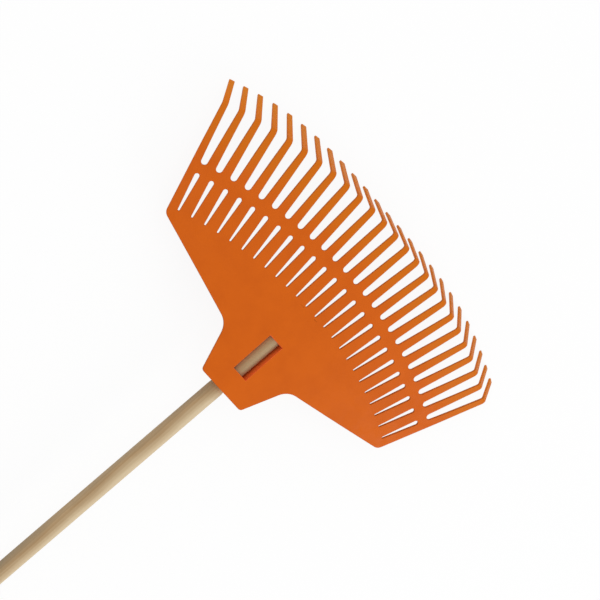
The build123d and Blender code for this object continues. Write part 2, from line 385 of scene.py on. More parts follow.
class Pen:
    """Draws a wire outline in the XY plane by extruding and spinning its last vertex."""

    def __init__(self, bm, x, y):
        self.bm = bm
        self.first = bm.verts.new((x, y, 0.0))
        self.tip = self.first
        self.edges = []

    def line(self, x, y):
        """Draw straight to a place."""
        grown = bmesh.ops.extrude_vert_indiv(self.bm, verts=[self.tip])
        self.tip = grown["verts"][0]
        self.tip.co = (x, y, 0.0)
        self.edges += grown["edges"]

    def lines(self, *places):
        """Draw straight from place to place."""
        for place in places:
            self.line(*place)

    def arc(self, x, y, sweep, steps):
        """Draw round a centre."""
        before = set(self.bm.edges)
        swept = bmesh.ops.spin(
            self.bm, geom=[self.tip], cent=(x, y, 0.0), axis=Z_AXIS, angle=sweep, steps=steps
        )
        self.tip = corners_of(swept["geom_last"])[0]
        self.edges += [edge for edge in self.bm.edges if edge not in before]

    def corner(self, before, corner, after, radius, steps):
        """Draw up to a corner between two places and round it."""
        arrive = (Vector(before) - Vector(corner)).normalized()
        leave = (Vector(after) - Vector(corner)).normalized()
        opening = arrive.angle(leave)
        start = Vector(corner) + arrive * (radius / tan(opening / 2))
        centre = Vector(corner) + (arrive + leave).normalized() * (radius / sin(opening / 2))
        side = 1.0 if arrive.y * leave.x - arrive.x * leave.y > 0.0 else -1.0
        self.line(start.x, start.y)
        self.arc(centre.x, centre.y, side * (pi - opening), steps)

    def close(self):
        """Close the outline and fill it."""
        self.edges.append(self.bm.edges.new((self.tip, self.first)))
        filled = bmesh.ops.contextual_create(self.bm, geom=self.edges)
        return filled["faces"]


class Fan:
    """Places on the cone that the head follows, facet by facet, with its apex at the origin."""

    def __init__(self, scene):
        sizes = scene.rake_fan
        tines = scene.rake_tines
        self.sizes = sizes
        self.axis = Vector((0.0, cos(sizes.cone_angle), -sin(sizes.cone_angle)))
        self.spread = atan(sin(sizes.cone_angle) * tan(sizes.tine_pitch / 2))
        self.out = Vector((sin(self.spread), cos(self.spread)))
        self.side = Vector((cos(self.spread), -sin(self.spread)))
        self.middle = (sizes.tine_count - 1) // 2
        self.apex = Vector((0.0, sizes.apex_y, sizes.deck_height))
        spacing = sin(sizes.cone_angle) * sin(sizes.tine_pitch)
        self.gap = sizes.crossband + sizes.crossband_width
        self.bend = self.gap + tines.length
        self.gap_radius = (self.gap * spacing - tines.root_width) / 2
        bend_radius = (self.bend * spacing - tines.bend_width) / 2
        self.gap_near = self.gap + self.gap_radius
        self.gap_flare = asin((bend_radius - self.gap_radius) / (self.bend - self.gap_near))
        self.side_edge = tines.bend_width / 2

    def turned(self, index):
        """Turn from the middle tine to another."""
        return Matrix.Rotation(index * self.sizes.tine_pitch, 4, self.axis)

    def seam(self, index):
        """Place of the seam beyond a tine, in plan, at a distance of one along the tine."""
        return (self.turned(index) @ Vector((tan(self.spread), 1.0, 0.0))).xy

    def tine_half_width(self, distance):
        """Half the width of a tine at a distance along it."""
        start = self.out * (self.gap_near - self.gap_radius * sin(self.gap_flare))
        start -= self.side * (self.gap_radius * cos(self.gap_flare))
        course = self.out * cos(self.gap_flare) - self.side * sin(self.gap_flare)
        return start.x + course.x * (distance - start.y) / course.y

    def facet(self, x, y):
        """Number of the tine whose facet lies at a place in plan."""
        heading = atan2(abs(x), y)
        index = 0
        while index < self.middle and heading > atan2(*self.seam(index)) + SEAM_ANGLE:
            index += 1
        return index if x >= 0.0 else -index

    def height(self, x, y):
        """Height of the facets over a place in plan."""
        up = self.turned(self.facet(x, y)) @ Z_AXIS
        return -(up.x * x + up.y * y) / up.z


class TineCourse:
    """Directions and measures of one tine, over its bend and down to its tip."""

    def __init__(self, fan, tines, index):
        sizes = fan.sizes
        self.place = index - fan.middle
        turned = fan.turned(self.place).to_3x3()
        self.along = turned @ Y_AXIS
        self.across = turned @ X_AXIS
        self.up = turned @ Z_AXIS
        level = Vector((self.along.y, -self.along.x, 0.0)).normalized()
        self.rise = level.cross(self.along)
        tilt = self.across.dot(level)
        self.inwards = (self.across if self.place < 0 else -self.across) / tilt
        share = sin(pi / 2 * min(1.0, abs(self.place) / tines.reach_tines)) ** 2
        self.reach = tines.reach_middle + (tines.reach_side - tines.reach_middle) * share
        self.lean = tines.lean_side * (self.place / fan.middle) ** LEAN_POWER
        self.half = sizes.plate_thickness / 2
        # The lower corner of a tilted tip stands on the floor
        corner = (tines.bend_width / 2 - self.lean) * abs(self.across.z) / tilt
        height = sizes.deck_height + (fan.bend + self.reach) * self.along.z
        self.drop = (height - self.half / tilt - corner) / self.rise.z
        self.fall = atan2(self.drop - self.half, self.reach)
        self.shank = tines.bend_radius * tan(self.fall / 2)
        self.heading = Vector((0.0, cos(self.fall), -sin(self.fall)))
        self.tip = Vector((0.0, fan.bend + self.reach, -self.drop))
        self.root_height = sizes.deck_height + (fan.gap + tines.hinge_setback) * self.along.z
        self.flex_start = sizes.parting
        self.flex_length = tines.flex_end - sizes.parting

    def flexed(self, distance):
        """Share of the flexing stretch that lies before a distance along the tine."""
        return min(1.0, max(0.0, (distance - self.flex_start) / self.flex_length))

    def fallen(self, height):
        """Share of the way from the tine's plane down to the tip, at a height in the strip."""
        return min(1.0, max(0.0, (-self.half - height) / (self.drop - self.half)))

    def is_tip_edge(self, edge):
        """Whether an edge of the strip runs across the end of the tip."""
        one, other = (vert.co for vert in edge.verts)
        middle = (one + other) / 2 - self.tip
        flat = Vector((0.0, middle.y, middle.z))
        is_level = abs(one.z - other.z) < LEVEL_MARGIN
        is_last = abs(flat.dot(self.heading) - self.half) < TIP_MARGIN
        return is_level and is_last and flat.length > self.half * TIP_OFFSET


def half_sector(bm, fan):
    """Half of a tine's share of the fan, flat, with half of a slot and of a gap beside it."""
    sizes = fan.sizes
    near_radius = sizes.slot_inner_width / 2
    far_radius = sizes.slot_outer_width / 2
    slot_start = sizes.crossband - sizes.slot_length
    near = slot_start + near_radius
    far = sizes.crossband - far_radius
    flare = asin((far_radius - near_radius) / (far - near))
    slot_side = fan.out * (far - far_radius * sin(flare)) - fan.side * (far_radius * cos(flare))
    pen = Pen(bm, 0.0, sizes.fan_start)
    pen.line(sizes.fan_start * tan(fan.spread), sizes.fan_start)
    pen.line(*(fan.out * slot_start))
    pen.arc(*(fan.out * near), -(pi / 2 - flare), SLOT_STEPS)
    pen.line(*slot_side)
    pen.arc(*(fan.out * far), -(pi / 2 + flare), ARC_STEPS)
    pen.line(*(fan.out * fan.gap))
    pen.arc(*(fan.out * fan.gap_near), -(pi / 2 - fan.gap_flare), ARC_STEPS)
    pen.line(fan.tine_half_width(sizes.parting), sizes.parting)
    pen.line(0.0, sizes.parting)
    return pen.close()


def half_throat(bm, fan, throat, easing=0.0):
    """Half of the throat plate, flat in plan, out to the fan, with its corners eased further."""
    sizes = fan.sizes
    turned = fan.turned(fan.middle)
    flange = (turned @ Vector((fan.side_edge, throat.flange, 0.0))).xy
    shoulder = (turned @ Vector((fan.side_edge, sizes.fan_start, 0.0))).xy
    rear = Vector((throat.width / 2, throat.rear))
    neck = Vector((throat.neck_width / 2, throat.neck))
    eased_radius = throat.corner_radius + easing
    pen = Pen(bm, 0.0, throat.rear)
    pen.corner((0.0, throat.rear), rear, neck, eased_radius, CORNER_STEPS)
    pen.corner(rear, neck, flange, throat.neck_radius, ARC_STEPS)
    last = fan.middle
    if easing:
        # One eased corner where the side runs into the fan, too wide for an inset to fold
        last -= RIM_CORNER_TINES
        seam = fan.seam(last) * sizes.fan_start
        side, front = flange - neck, seam - shoulder
        tip = neck + side * ((shoulder - neck).cross(front) / side.cross(front))
        pen.corner(neck, tip, seam, eased_radius, ARC_STEPS)
        pen.line(*seam)
    else:
        pen.corner(neck, flange, shoulder, throat.flange_radius, ARC_STEPS)
        pen.line(*shoulder)
    for index in range(last, 0, -1):
        if not easing:
            pen.line(*(fan.turned(index) @ Vector((0.0, sizes.fan_start, 0.0))).xy)
        pen.line(*(fan.seam(index - 1) * sizes.fan_start))
    pen.line(0.0, sizes.fan_start)
    return pen.close()


def cut_along_seams(bm, faces, fan):
    """Cut plan faces along the seams between the tines' facets."""
    geom = whole(faces)
    for index in range(fan.middle):
        course = fan.seam(index)
        for side in (1.0, -1.0):
            geom = cut(bm, geom, ORIGIN, (course.y, -side * course.x, 0.0))
    return faces_of(geom)


def cut_window(bm, faces, throat):
    """Take the window out of half a throat plate."""
    half_width = throat.window_width / 2
    half_length = (throat.window_front - throat.window_rear) / 2
    centre = (throat.window_rear + throat.window_front) / 2
    near = [face for face in faces if min(vert.co.x for vert in face.verts) < half_width]
    geom = cut(bm, whole(near), (half_width, 0.0, 0.0), X_AXIS)
    for end in (throat.window_rear, throat.window_front):
        geom = cut(bm, geom, (0.0, end, 0.0), Y_AXIS)
    inside = []
    for face in faces_of(geom):
        middle = face.calc_center_median()
        if middle.x < half_width and abs(middle.y - centre) < half_length:
            inside.append(face)
    bmesh.ops.delete(bm, geom=inside, context="FACES")


def is_in_window(place, throat):
    """Whether a place, measured from the apex, lies in the window or on its edges."""
    rear, front = throat.window_rear - WINDOW_MARGIN, throat.window_front + WINDOW_MARGIN
    return rear < place.y < front and abs(place.x) < throat.window_width / 2 + WINDOW_MARGIN


def is_tine_end(face, distance):
    """Whether a face closes a tine root at a distance from the apex."""
    middle = face.calc_center_median()
    is_there = abs(middle.length - distance) < END_MARGIN
    return is_there and face.normal.dot(middle.normalized()) > END_FACING


def handle_frame(fan, handle):
    """Frame at the end stop: X across, Y up from the handle, Z along it to its free end."""
    slant, fall = cos(handle.slope), sin(handle.slope)
    start = Vector((0.0, fan.apex.y + handle.front, handle.front_height))
    columns = Matrix(((1.0, 0.0, 0.0), (0.0, -fall, -slant), (0.0, slant, -fall)))
    return Matrix.Translation(start) @ columns.to_4x4()


class Shader:
    """A material's nodes, added one by one."""

    def __init__(self, name):
        self.material = bpy.data.materials.new(name)
        self.material.use_nodes = True
        self.tree = self.material.node_tree
        self.surface = self.tree.nodes["Principled BSDF"]
        self.output = self.tree.nodes["Material Output"]

    def add(self, kind, label, settings=None, **values):
        """A new node, with its settings and the values of its inputs."""
        node = self.tree.nodes.new(kind)
        node.label = label
        for key, value in (settings or {}).items():
            setattr(node, key, value)
        for key, value in values.items():
            node.inputs[key.replace("_", " ")].default_value = value
        return node

    def feed(self, socket, source):
        """Link an output to an input, or give the input a value."""
        if isinstance(source, bpy.types.NodeSocket):
            self.tree.links.new(source, socket)
        else:
            socket.default_value = source

    def set_surface(self, **sources):
        """Feed inputs of the surface, with their names' spaces as underscores."""
        for key, source in sources.items():
            self.feed(self.surface.inputs[key.replace("_", " ")], source)

    def place(self, label, scale=(1.0, 1.0, 1.0), rotation=ORIGIN, location=ORIGIN):
        """Object coordinates, stretched, turned and moved."""
        spot = self.add("ShaderNodeTexCoord", label)
        mapping = self.add(
            "ShaderNodeMapping", label, Location=location, Rotation=rotation, Scale=scale
        )
        self.feed(mapping.inputs["Vector"], spot.outputs["Object"])
        return mapping.outputs["Vector"]

    def share(self, label, attribute):
        """A share kept in the piece's vertices."""
        node = self.add("ShaderNodeAttribute", label, {"attribute_name": attribute})
        return node.outputs["Fac"]

    def noise(self, label, vector, scale, detail, roughness):
        """A noise pattern."""
        node = self.add(
            "ShaderNodeTexNoise", label, Scale=scale, Detail=detail, Roughness=roughness
        )
        self.feed(node.inputs["Vector"], vector)
        return node.outputs["Fac"]

    def ramp(self, label, factor, first, second):
        """A run between two colours, each with its place."""
        node = self.add("ShaderNodeValToRGB", label)
        for element, (place, tone) in zip(node.color_ramp.elements, (first, second)):
            element.position = place
            element.color = (*tone, 1.0)
        self.feed(node.inputs["Fac"], factor)
        return node.outputs["Color"]

    def range(self, label, value, low, high, start=0.0, end=1.0):
        """A value brought from one range to another."""
        node = self.add(
            "ShaderNodeMapRange", label, From_Min=start, From_Max=end, To_Min=low, To_Max=high
        )
        self.feed(node.inputs["Value"], value)
        return node.outputs["Result"]

    def calc(self, label, operation, first, second):
        """The result of one operation on two values."""
        node = self.add("ShaderNodeMath", label, {"operation": operation})
        self.feed(node.inputs[0], first)
        self.feed(node.inputs[1], second)
        return node.outputs["Value"]

    def mix(self, label, factor, under, tone):
        """One colour laid over another by a share."""
        node = self.add("ShaderNodeMix", label, {"data_type": "RGBA", "blend_type": "MIX"})
        self.feed(node.inputs["Factor"], factor)
        self.feed(node.inputs[MIX_UNDER], under)
        self.feed(node.inputs[MIX_OVER], (*tone, 1.0))
        return node.outputs[MIX_RESULT]

    def bump(self, label, height, strength, distance, under=None):
        """A surface roughened by a pattern, over another if there is one."""
        node = self.add("ShaderNodeBump", label, Strength=strength, Distance=distance)
        self.feed(node.inputs["Height"], height)
        if under:
            self.feed(node.inputs["Normal"], under)
        return node.outputs["Normal"]


def moulded_plastic(finish):
    """Orange moulded plastic: faint mottling, fine grain, painted shade on the edges, a painted
    glow on the window's walls, scuffs towards the tine tips.
    """
    shader = Shader(PLASTIC)
    spot = shader.place("Plastic place")
    mottle = shader.noise("Mottling", spot, scale=26.0, detail=4.0, roughness=0.6)
    plate = shader.ramp(
        "Plastic colour", mottle, (0.3, finish.plastic_deep), (0.62, finish.plastic)
    )
    along = shader.share("Along the tine", "tine_share")
    thin = shader.range("Thin plastic", along, low=0.0, high=0.8)
    tine = shader.mix("Tine colour", thin, plate, finish.plastic_tine)
    # Painted shade on the moulding's edges and walls and on the tines' sides
    edge = shader.share("On the edges", "edge_shade_share")
    edge_shade_depth = shader.range("Painted edge shade", edge, low=0.0, high=0.55)
    edge_shaded = shader.mix("Edge colour", edge_shade_depth, tine, finish.plastic_edge_shade)
    # Painted glow on the walls of the window and of the socket beside it
    wall = shader.share("In the window", "wall_glow_share")
    base = shader.mix("Wall glow colour", wall, edge_shaded, finish.plastic_wall_glow)
    tip = shader.share("Towards the tip", "tip_share")
    scuff_place = shader.place("Scuff place", scale=(1.0, 1.0, 2.4))
    scuffs = shader.noise("Scuffs", scuff_place, scale=240.0, detail=5.0, roughness=0.7)
    strength = shader.range("Scuff strength", scuffs, low=0.25, high=1.0, start=0.3, end=0.7)
    scuffed = shader.calc("Scuffed share", "MULTIPLY", tip, strength)
    patches = shader.noise("Gloss patches", spot, scale=70.0, detail=4.0, roughness=0.65)
    grain = shader.noise("Mould grain", spot, scale=1500.0, detail=2.0, roughness=0.5)
    waves = shader.noise("Sink marks", spot, scale=45.0, detail=2.0, roughness=0.4)
    sunk = shader.bump("Sink bump", waves, strength=0.07, distance=0.002)
    shader.set_surface(
        Base_Color=shader.mix("Scuffed colour", scuffed, base, finish.plastic_tip),
        Roughness=shader.range("Roughness", patches, low=0.42, high=0.6, start=0.3, end=0.7),
        Normal=shader.bump("Grain bump", grain, strength=0.1, distance=0.0004, under=sunk),
        Specular_IOR_Level=0.1,
    )
    return shader.material


def turned_wood(finish, handle, seat):
    """Pale turned wood: rings, fibres along the handle, sapwood partly painted as light on its lit
    side, painted shade on its other side and on the seat from a place on.
    """
    shader = Shader(WOOD)
    slope = (-handle.slope, 0.0, 0.0)
    ring_place = shader.place(
        "Ring place", scale=(1.0, 0.055, 1.0), rotation=slope, location=(0.021, 0.0, -0.05)
    )
    rings = shader.add(
        "ShaderNodeTexWave",
        "Growth rings",
        {"wave_type": "RINGS", "rings_direction": "Y", "wave_profile": "SAW"},
        Scale=75.0,
        Distortion=5.0,
        Detail=3.0,
        Detail_Scale=0.6,
        Detail_Roughness=0.55,
    )
    shader.feed(rings.inputs["Vector"], ring_place)
    ring = rings.outputs["Fac"]
    fibre_place = shader.place("Fibre place", scale=(1.0, 0.02, 1.0), rotation=slope)
    streaks = shader.noise("Fibre streaks", fibre_place, scale=900.0, detail=4.0, roughness=0.65)
    band_place = shader.place("Band place", scale=(1.0, 0.03, 1.0), rotation=slope)
    bands = shader.noise("Tone bands", band_place, scale=110.0, detail=2.0, roughness=0.5)
    ringed = shader.ramp("Ring colour", ring, (0.1, finish.wood_middle), (0.95, finish.wood_dark))
    fibre_share = shader.range("Fibre share", streaks, low=0.0, high=0.5, start=0.35, end=0.75)
    fibres = shader.mix("Fibre colour", fibre_share, ringed, finish.wood_dark)
    # Paler sapwood runs along one side of the handle, the lit +X side, with a wandering edge:
    # partly sapwood, partly painted light
    spot = shader.add("ShaderNodeTexCoord", "Sapwood place")
    parts = shader.add("ShaderNodeSeparateXYZ", "Across and along")
    shader.feed(parts.inputs["Vector"], spot.outputs["Object"])
    edge_place = shader.place("Edge place", scale=(1.0, 0.25, 1.0), rotation=slope)
    edge = shader.noise("Sapwood edge", edge_place, scale=30.0, detail=3.0, roughness=0.5)
    shift = shader.range("Wander", edge, low=-0.005, high=0.005, start=0.25, end=0.75)
    wander = shader.calc("Wandering edge", "ADD", parts.outputs["X"], shift)
    sap_and_lit_share = shader.range("Sapwood and lit side share", wander, low=0.0, high=0.9, start=-0.006, end=0.0055)
    sap_and_lit = shader.mix("Sapwood and lit side colour", sap_and_lit_share, fibres, finish.wood_pale_and_lit)
    band_share = shader.range("Band share", bands, low=0.0, high=0.35, start=0.45, end=0.75)
    banded = shader.mix("Band colour", band_share, sap_and_lit, finish.wood_pale_and_lit)
    # Painted shade: the -X side of the handle greyer and darker
    shaded_side_share = shader.range(
        "Shaded side share", wander, low=0.75, high=0.0, start=-0.0145, end=-0.006
    )
    side_shaded = shader.mix("Shaded side colour", shaded_side_share, banded, finish.wood_shaded_side)
    # Painted shade on the seat, from just outside the socket's mouth inwards
    start, end = (seat + distance for distance in SEAT_SHADE)
    seat_shade_share = shader.range(
        "Seat shade share", parts.outputs["Y"], low=0.0, high=0.7, start=start, end=end
    )
    pores = shader.bump("Pore bump", streaks, strength=0.2, distance=0.0005)
    shader.set_surface(
        Base_Color=shader.mix("Seat shade colour", seat_shade_share, side_shaded, finish.wood_seat_shade),
        Roughness=shader.range("Roughness", streaks, low=0.5, high=0.72),
        Normal=shader.bump("Ring bump", ring, strength=0.06, distance=0.0005, under=pores),
        Specular_IOR_Level=0.25,
    )
    return shader.material


def plated_steel(finish):
    """Plated steel with fine turning marks."""
    shader = Shader(STEEL)
    mark_place = shader.place("Mark place", scale=(1.0, 1.0, 0.1))
    marks = shader.noise("Turning marks", mark_place, scale=2600.0, detail=3.0, roughness=0.6)
    shader.set_surface(
        Base_Color=shader.ramp(
            "Steel colour", marks, (0.3, finish.steel_deep), (0.7, finish.steel)
        ),
        Metallic=1.0,
        Roughness=shader.range("Roughness", marks, low=0.28, high=0.45),
        Normal=shader.bump("Mark bump", marks, strength=0.08, distance=0.0002),
    )
    return shader.material


def kept(name, make, *parts):
    """A material by name, made on first use."""
    return bpy.data.materials.get(name) or make(*parts)


def plastic_of(scene):
    """The head's plastic."""
    return kept(PLASTIC, moulded_plastic, scene.rake_finish)


class RAKE_OT_head(Operator):
    """Model the head's plate with its slots, window, crossband and tine roots"""

    bl_idname = "object.rake_head"
    bl_label = "Rake Head"

    def execute(self, context):
        scene = context.scene
        fan = Fan(scene)
        bm = bmesh.new()
        self.half_fan(bm, fan)
        self.half_plate(bm, fan, scene.rake_throat)
        bmesh.ops.remove_doubles(bm, verts=bm.verts[:], dist=FAN_MERGE)
        bmesh.ops.mirror(bm, geom=everything(bm), axis="X", merge_dist=FAN_MERGE)
        upward(bm)
        thickened(bm, fan.sizes.plate_thickness)
        outward(bm)
        self.round_off(bm, fan.sizes, scene.rake_throat)
        bmesh.ops.translate(bm, verts=bm.verts[:], vec=fan.apex)
        piece = finished(bm, "fan_plate", plastic_of(scene), "head")
        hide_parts("head")
        return {"FINISHED"}

    def half_fan(self, bm, fan):
        """Half of the fan: the middle tine's share spun outwards, and a strip at the side."""
        sizes = fan.sizes
        to_side = fan.turned(fan.middle)
        right = whole(half_sector(bm, fan))
        bmesh.ops.mirror(bm, geom=right, axis="X", merge_dist=MIRROR_MERGE)
        left = whole([face for face in bm.faces if face.calc_center_median().x < 0.0])
        last = bmesh.ops.duplicate(bm, geom=left)["geom"]
        bmesh.ops.transform(bm, matrix=to_side, verts=corners_of(last))
        apart = set(last)
        bmesh.ops.spin(
            bm,
            geom=[item for item in everything(bm) if item not in apart],
            cent=ORIGIN,
            axis=fan.axis,
            angle=(fan.middle - 1) * sizes.tine_pitch,
            steps=fan.middle - 1,
            use_duplicate=True,
        )
        bmesh.ops.delete(bm, geom=faces_of(left), context="FACES")
        pen = Pen(bm, 0.0, sizes.fan_start)
        pen.line(fan.side_edge, sizes.fan_start)
        pen.lines((fan.side_edge, sizes.parting), (0.0, sizes.parting))
        strip = whole(pen.close())
        bmesh.ops.transform(bm, matrix=to_side, verts=corners_of(strip))

    def half_plate(self, bm, fan, throat):
        """Half of the throat plate with its window, laid on the facets of the fan."""
        before = set(bm.faces)
        plate = cut_along_seams(bm, half_throat(bm, fan, throat), fan)
        cut_window(bm, plate, throat)
        for vert in {vert for face in bm.faces if face not in before for vert in face.verts}:
            vert.co.z = fan.height(vert.co.x, vert.co.y)

    def round_off(self, bm, sizes, throat):
        """Round the plate's edges apart from the tine roots', and mark the edges for painted shade
        and the window walls for a painted glow.
        """
        walls = [face for face in bm.faces if abs(face.normal.z) < WALL_RISE]
        ends = [face for face in walls if is_tine_end(face, sizes.parting)]
        end_edges = {edge for face in ends for edge in face.edges}
        for edge in end_edges:
            edge.smooth = False
        rims = [edge for edge in sharp_edges(bm, SHARP_ANGLE) if edge not in end_edges]
        rounded = round_edges(bm, rims, sizes.edge_rounding, PLATE_SEGMENTS)
        edge_shade_share = bm.verts.layers.float.new("edge_shade_share")
        wall_glow_share = bm.verts.layers.float.new("wall_glow_share")
        # Painted shade on the rounded edges and walls, a painted glow on those in the window
        for vert in bm.verts:
            if all(face in rounded or abs(face.normal.z) < WALL_RISE for face in vert.link_faces):
                vert[wall_glow_share if is_in_window(vert.co, throat) else edge_shade_share] = 1.0


class RAKE_OT_tines(Operator):
    """Model the flexing tines with their bent-down tips"""

    bl_idname = "object.rake_tines"
    bl_label = "Rake Tines"

    def execute(self, context):
        scene = context.scene
        fan = Fan(scene)
        for index in range(fan.sizes.tine_count):
            self.tine(scene, fan, index)
        return {"FINISHED"}

    def tine(self, scene, fan, index):
        """One tine, shaped from the parting on."""
        sizes = fan.sizes
        tines = scene.rake_tines
        course = TineCourse(fan, tines, index)
        bm = bmesh.new()
        tip_share = bm.verts.layers.float.new("tip_share")
        tine_share = bm.verts.layers.float.new("tine_share")
        root = self.strip(bm, fan, tines, course)
        for vert in bm.verts:
            vert[tip_share] = course.fallen(vert.co.z)
            vert[tine_share] = course.flexed(vert.co.y)
        self.round_off(bm, root, course, sizes.edge_rounding)
        # Painted shade on the tine's sides, fading towards the tip
        edge_shade_share = bm.verts.layers.float.new("edge_shade_share")
        for vert in bm.verts:
            if min(abs(face.normal.x) for face in vert.link_faces) > SIDE_FACING:
                vert[edge_shade_share] = max(0.0, 1.0 - EDGE_SHADE_FADE * vert[tip_share])
        self.settle(bm, fan, course)
        name = f"tine_{index + 1:02d}"
        piece = finished(bm, f"flex_{name}", plastic_of(scene), None)
        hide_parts(name)
        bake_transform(piece)

    def strip(self, bm, fan, tines, course):
        """The tine in its own plane, X across, Y along and Z up, and return its root's edges."""
        parting, half = fan.sizes.parting, course.half
        width = fan.tine_half_width(parting)
        bmesh.ops.create_grid(bm, x_segments=1, y_segments=1, size=1.0, matrix=UPRIGHT)
        bmesh.ops.scale(bm, verts=bm.verts[:], vec=(width, 1.0, half))
        bmesh.ops.translate(bm, verts=bm.verts[:], vec=(0.0, parting, -half))
        root = bm.edges[:]
        bend_start = fan.bend - course.shank
        front = self.grown(bm, root, Y_AXIS, bend_start - parting, TINE_RUN_STEPS)
        swept = bmesh.ops.spin(
            bm,
            geom=front,
            cent=(0.0, bend_start, -half - tines.bend_radius),
            axis=X_AXIS,
            angle=-course.fall,
            steps=TINE_BEND_STEPS,
        )
        front = edges_of(swept["geom_last"])
        rest = hypot(course.reach, course.drop - half) - course.shank + half
        front = self.grown(bm, front, course.heading, rest, TINE_TIP_STEPS)
        bmesh.ops.contextual_create(bm, geom=front)
        outward(bm)
        is_outermost = abs(course.place) == fan.middle
        for vert in bm.verts:
            is_outside = is_outermost and course.place * vert.co.x > 0.0
            half_width = fan.side_edge if is_outside else fan.tine_half_width(vert.co.y)
            vert.co.x *= half_width / width
        return root

    def grown(self, bm, front, heading, length, steps):
        """Run a front of edges on, in steps, and return the last."""
        for _ in range(steps):
            grown = bmesh.ops.extrude_edge_only(bm, edges=front)["geom"]
            bmesh.ops.translate(bm, verts=corners_of(grown), vec=heading * (length / steps))
            front = edges_of(grown)
        return front

    def round_off(self, bm, root, course, rounding):
        """Round the tip's end and the long edges, and keep the root's edges sharp."""
        end = [edge for edge in bm.edges if course.is_tip_edge(edge)]
        for edge in root:
            edge.smooth = False
        round_edges(bm, end, course.half * TIP_ROUNDING, TIP_SEGMENTS)
        rims = [edge for edge in sharp_edges(bm, SHARP_ANGLE) if edge not in root]
        round_edges(bm, rims, rounding, PLATE_SEGMENTS, clamped=False)

    def settle(self, bm, fan, course):
        """Lay the strip on the fan, with its bend turned level and its tip leaning inwards."""
        for vert in bm.verts:
            x, y, z = vert.co
            share = course.flexed(y)
            spot = fan.apex + course.across * x + course.along * y
            spot += course.up.lerp(course.rise, share) * z
            fallen = max(0.0, course.root_height - spot.z) if course.place else 0.0
            lean = course.lean * share * fallen / course.root_height
            vert.co = spot + course.inwards * lean


